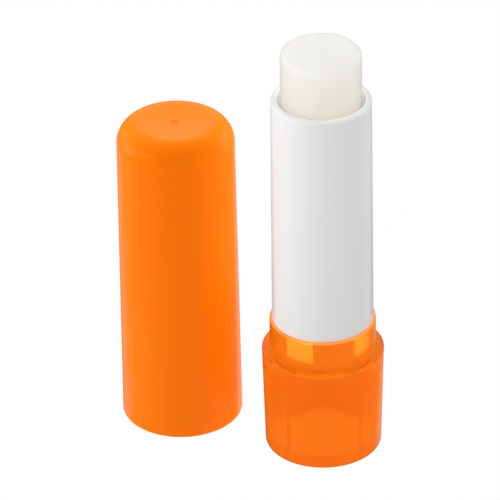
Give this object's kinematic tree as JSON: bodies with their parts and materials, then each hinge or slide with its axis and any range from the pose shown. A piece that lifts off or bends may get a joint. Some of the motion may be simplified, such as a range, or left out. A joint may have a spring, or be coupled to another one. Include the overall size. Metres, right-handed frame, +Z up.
{
  "type": "lip balm stick",
  "caption": "Round twist-up lip balm stick with a slim barrel, a turning base with a collar, a wax stick wound part way out, and its domed push-on cap standing beside it.",
  "frame": {"origin": "centre of the base's foot on the table, on the axis of the stick", "axes": "+Z up along the axis of the stick, towards the balm; the cap stands to -X and a little to +Y; -Y is the side that faces the camera"},
  "size_m": [0.0419, 0.0292, 0.0709],
  "materials": {
    "cap_plastic": "frosted, opaque orange",
    "barrel_plastic": "smooth white",
    "base_plastic": "glossy, see-through orange",
    "screw_plastic": "see-through, faintly tinted orange",
    "elevator_plastic": "plain white moulding",
    "balm_wax": "smooth off-white wax, slightly see-through"
  },
  "bodies": {
    "tube": {"barrel": "barrel_plastic"},
    "base": {"base_shell": "base_plastic", "screw_spindle": "screw_plastic"},
    "carrier": {"elevator": "elevator_plastic", "balm": "balm_wax"},
    "loose_cap": {"cap": "cap_plastic"}
  },
  "joints": [
    {"name": "base_turn", "type": "hinge", "parent": "tube", "child": "base", "pos_m": [0, 0, 0], "axis": [0, 0, 1], "range_deg": [-1260, 1800]},
    {"name": "carrier_rise", "type": "slide", "parent": "tube", "child": "carrier", "axis": [0, 0, 1], "range_m": [-0.01156, 0.01651]},
    {"name": "cap_lift", "type": "slide", "parent": "tube", "child": "loose_cap", "axis": [0, 0, 1], "range_m": [0, 0.06]}
  ],
  "couplings": [
    {"joint": "carrier_rise", "follows": "base_turn", "m_per_rad": 0.00052521}
  ]
}
